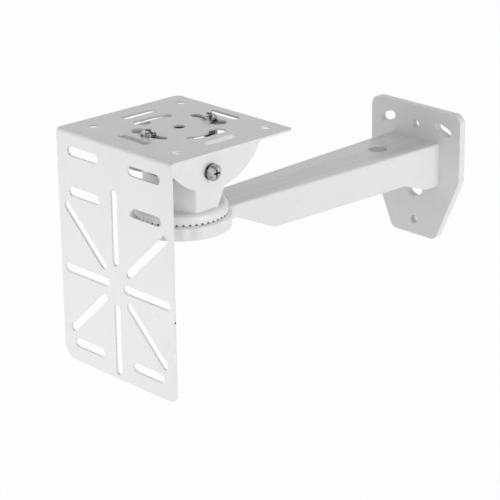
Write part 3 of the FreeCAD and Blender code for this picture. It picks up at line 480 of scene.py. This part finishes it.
def make_camera_plate(material):
    """The L of thin sheet: a top plate with swivel slots and a flange pierced by a star."""
    shell = bmesh.new()
    plate_top = PLATE_TOP - TOUCH_GAP
    seam_y = PLATE_FRONT + PLATE_BEND
    seam_z = plate_top - PLATE_BEND
    rear = PLATE_REAR - REAR_ROUND
    side = PLATE_HALF - REAR_ROUND
    top = [(-PLATE_HALF, seam_y), (PLATE_HALF, seam_y)]
    top += arc((side, rear), REAR_ROUND, 0, 90) + arc((-side, rear), REAR_ROUND, 90, 180)
    holes = [hole((0.0, HEAD_Y), CENTRE_BORE)]
    for sign in (1, -1):
        holes.append(slot((0.0, HEAD_Y + sign * CROSS_SLOT[0]), CROSS_SLOT[1], SLOT_WIDTH))
        holes.append(slot((sign * SIDE_SLOT[0], HEAD_Y), SIDE_SLOT[1], SLOT_WIDTH, 90))
        for end in (1, -1):
            corner = (sign * CORNER_HOLES[0], HEAD_Y + end * CORNER_HOLES[1])
            holes.append(hole(corner, CORNER_BORE))
    for middle, keyhole in ((0, KEYHOLE_ANGLE), (90, -KEYHOLE_ANGLE),
                            (180, KEYHOLE_ANGLE), (270, -KEYHOLE_ANGLE)):
        holes.append(swivel_slot(middle, keyhole))
    add_sheet(shell, [top] + holes, PLATE_SHEET,
              drawn((0.0, 0.0, plate_top), (1, 0, 0), (0, 1, 0), (0, 0, 1)))
    left = (-PLATE_HALF + LEFT_FOOT_ROUND, PLATE_FOOT + LEFT_FOOT_ROUND)
    right = (PLATE_HALF - RIGHT_FOOT_ROUND, PLATE_FOOT + RIGHT_FOOT_ROUND)
    flange = [(PLATE_HALF, seam_z), (-PLATE_HALF, seam_z)]
    flange += arc(left, LEFT_FOOT_ROUND, 180, 270) + arc(right, RIGHT_FOOT_ROUND, 270, 360)
    holes = [slot((sign * FLANGE_SLOT[0], level), FLANGE_SLOT[1], SLOT_WIDTH)
             for sign in (1, -1) for level in FLANGE_ROWS]
    holes += [star_ray(*ray) for ray in STAR_RAYS]
    add_sheet(shell, [flange] + holes, PLATE_SHEET,
              drawn((0.0, PLATE_FRONT, 0.0), (1, 0, 0), (0, 0, 1), (0, -1, 0)))
    add_bend(shell, PLATE_SHEET, PLATE_BEND, (-PLATE_HALF, PLATE_HALF),
             drawn((0.0, seam_y, seam_z), (0, 1, 0), (0, 0, 1), (1, 0, 0)))
    finish_piece(shell, "pierced_camera_plate", "swivel_plate", "camera_plate", material)


def make_clevis(material, metal):
    """The upturned U under the camera plate: a pierced web and two round-bottomed ears."""
    shell = bmesh.new()
    web_top = PLATE_TOP - PLATE_SHEET - 2 * TOUCH_GAP
    seam_z = web_top - CLEVIS_BEND
    seam_x = EAR_OUT - CLEVIS_BEND
    lean = math.degrees(math.asin((EAR_CENTRE[1] - seam_z) / EAR_RADIUS))
    bottom = arc(EAR_CENTRE, EAR_RADIUS, 180 + lean, 360 - lean)
    near_y = bottom[0][0]
    far_y = bottom[-1][0]
    ear = bottom[-1:] + bottom[:-1]
    eye = hole((HEAD_Y, TILT_RISE), SCREW_BORE)
    half, reach = WEB_NOTCH
    web = [(seam_x, near_y), (seam_x, far_y), (half, far_y), (half, HEAD_Y + reach),
           (-half, HEAD_Y + reach), (-half, far_y), (-seam_x, far_y), (-seam_x, near_y),
           (-half, near_y), (-half, HEAD_Y - reach), (half, HEAD_Y - reach), (half, near_y)]
    holes = [hole((0.0, HEAD_Y), CENTRE_BORE)]
    for sign in (1, -1):
        holes.append(hole((0.0, HEAD_Y + sign * SWIVEL_RADIUS), SCREW_BORE))
        holes.append(rounded_window(sign))
    add_sheet(shell, [web] + holes, CLEVIS_SHEET,
              drawn((0.0, 0.0, web_top), (1, 0, 0), (0, 1, 0), (0, 0, 1)), (0, 6))
    for sign in (1, -1):
        add_sheet(shell, [ear, eye], CLEVIS_SHEET,
                  drawn((sign * EAR_OUT, 0.0, 0.0), (0, 1, 0), (0, 0, 1), (sign, 0, 0)))
        add_bend(shell, CLEVIS_SHEET, CLEVIS_BEND, (near_y, far_y),
                 drawn((sign * seam_x, 0.0, seam_z), (-sign, 0, 0), (0, 0, 1), (0, 1, 0)))
    finish_piece(shell, "pierced_clevis", "tilting_clevis", "tilt_clevis", material)
    under = web_top - CLEVIS_SHEET - TOUCH_GAP
    for name, along in (("plate_washer_front", -SWIVEL_RADIUS), ("plate_washer_rear", SWIVEL_RADIUS)):
        ring = bmesh.new()
        centre = (0.0, HEAD_Y + along)
        add_sheet(ring, [hole(centre, WASHER_WIDTH), hole(centre, SCREW_BORE)],
                  under - WASHER_FOOT - TOUCH_GAP,
                  drawn((0.0, 0.0, under), (1, 0, 0), (0, 1, 0), (0, 0, 1)), ())
        finish_piece(ring, "thick_" + name, "tilting_clevis", name, metal)


def dress_nodes():
    """Give every carried-over piece its finish."""
    finishes = {"white_paint": powder_coat("white_powder_coat"),
                "zinc": zinc("dark_zinc", ZINC_DARK, ZINC_GREY)}
    slots = {part["node"]: part["material_slot"] for part in frame["record"]["subparts"]}
    head = Vector((0.0, HEAD_Y, CUP_TOP))
    # painted shade on the cup's top under the disc, and in the cable hole
    arm_spots = [((head, 2, RIM_RADIUS, *ARM_RIM_LEVELS), PAINTED_SHADE_AND_NICK),
                 ((CABLE_HOLE, 2, CABLE_REACH, *CABLE_LEVELS), HOLE_SHADE)]
    # painted shade in the disc's notches and inside its skirt
    disc_spots = [((head, 2, RIM_RADIUS, *DISC_RIM_LEVELS), PAINTED_SHADE_AND_NICK)]
    special = {
        "arm": powder_coat("arm_powder_coat", arm_spots, True),
        "pan_disc": powder_coat("disc_powder_coat", disc_spots),
        # painted shade in the cross recesses of the tilt bolt and the plate screws
        "tilt_bolt": zinc("tilt_bolt_zinc", ZINC_GREY, ZINC_PALE, (TILT_RECESS, 0)),
    }
    for name, along in (("plate_screw_front", -SWIVEL_RADIUS), ("plate_screw_rear", SWIVEL_RADIUS)):
        recess = Vector((0.0, HEAD_Y + along, PLATE_TOP + SCREW_RECESS_RISE))
        special[name] = zinc(name + "_zinc", ZINC_DARK, ZINC_PALE, (recess, 2))
    for name, piece in frame["nodes"].items():
        piece.data.materials.clear()
        piece.data.materials.append(special.get(name, finishes[slots[name]]))
    hub = Vector((0.0, HEAD_Y, PLATE_TOP - PLATE_SHEET))
    # painted shade on the web's top under the swivel slots, and in the centre bore
    web_spots = []
    for along in (-SWIVEL_RADIUS, SWIVEL_RADIUS):
        screw = hub + Vector((0.0, along, 0.0))
        web_spots.append(((screw, 2, WEB_SHADE_RADIUS, *WEB_SHADE_LEVELS), SHADOWED))
    web_spots.append(((hub, 2, CENTRE_BORE / 2 + HUB_MARGIN, *HUB_LEVELS), PAINTED_SHADE_AND_NICK))
    # a nick in the paint at the flange's edge
    plate_spots = [((NICK_PLACE, 2, NICK_RADIUS, *NICK_LEVELS), PAINTED_SHADE_AND_NICK)]
    make_clevis(powder_coat("clevis_powder_coat", web_spots), finishes["zinc"])
    make_camera_plate(powder_coat("plate_powder_coat", plate_spots))


def seen_directly(tree):
    """Share of 1 for the camera and for reflections, and of 0 for soft light."""
    path = tree.nodes.new("ShaderNodeLightPath")
    return math_node(tree, "MAXIMUM", path.outputs["Is Camera Ray"], path.outputs["Is Glossy Ray"])


def make_floor():
    """Pale floor that shows white to the camera and keeps a soft shadow."""
    bpy.ops.mesh.primitive_plane_add(size=2 * FLOOR_REACH, location=(0, 0, FLOOR_LEVEL))
    floor = bpy.context.object
    floor.name = "floor"
    material, tree, shader = make_tree("pale_floor")
    shader.inputs["Base Color"].default_value = FLOOR_PAINT
    shader.inputs["Roughness"].default_value = FLOOR_ROUGHNESS
    glow = tree.nodes.new("ShaderNodeEmission")
    mix = tree.nodes.new("ShaderNodeMixShader")
    share = math_node(tree, "MULTIPLY", seen_directly(tree), FLOOR_GLOW)
    tree.links.new(share, mix.inputs["Fac"])
    tree.links.new(shader.outputs["BSDF"], mix.inputs[1])
    tree.links.new(glow.outputs["Emission"], mix.inputs[2])
    tree.links.new(mix.outputs["Shader"], tree.nodes["Material Output"].inputs["Surface"])
    floor.data.materials.append(material)


def make_world():
    """White surroundings for the camera and for reflections, softer as a light."""
    world = bpy.data.worlds.new("studio")
    bpy.context.scene.world = world
    world.use_nodes = True
    tree = world.node_tree
    background = tree.nodes["Background"]
    background.inputs["Color"].default_value = WHITE
    strength = ramp(tree, seen_directly(tree), AMBIENT, 1.0, (0.0, 1.0))
    tree.links.new(strength, background.inputs["Strength"])


def make_lamp(name, place, target, size, power):
    """Large square lamp that faces a point."""
    data = bpy.data.lights.new(name, "AREA")
    data.shape = "SQUARE"
    data.size = size
    data.energy = power
    lamp = bpy.data.objects.new(name, data)
    bpy.context.collection.objects.link(lamp)
    lamp.location = place
    lamp.rotation_euler = (Vector(target) - Vector(place)).to_track_quat("-Z", "Y").to_euler()


def make_camera():
    """The photograph's camera."""
    data = bpy.data.cameras.new("photo_camera")
    data.sensor_width = SENSOR_WIDTH
    data.lens = FOCAL_PIXELS / PHOTO_PIXELS * SENSOR_WIDTH
    data.clip_start = CLIP_NEAR
    data.clip_end = CLIP_FAR
    camera = bpy.data.objects.new("photo_camera", data)
    bpy.context.collection.objects.link(camera)
    yaw = math.radians(CAMERA_YAW)
    pitch = math.radians(CAMERA_PITCH)
    back = Vector((math.sin(yaw) * math.cos(pitch), -math.cos(yaw) * math.cos(pitch),
                   math.sin(pitch)))
    right = Vector((math.cos(yaw), math.sin(yaw), 0.0))
    turn = Matrix((right, back.cross(right), back)).transposed()
    roll = Matrix.Rotation(math.radians(CAMERA_ROLL), 3, "Z")
    camera.matrix_world = Matrix.Translation(CAMERA_PLACE) @ (turn @ roll).to_4x4()
    bpy.context.scene.camera = camera


dress_nodes()
make_floor()
make_world()
make_lamp("front_lamp", *FRONT_LAMP)
make_lamp("side_lamp", *SIDE_LAMP)
make_camera()
bpy.context.scene.view_settings.view_transform = "Standard"
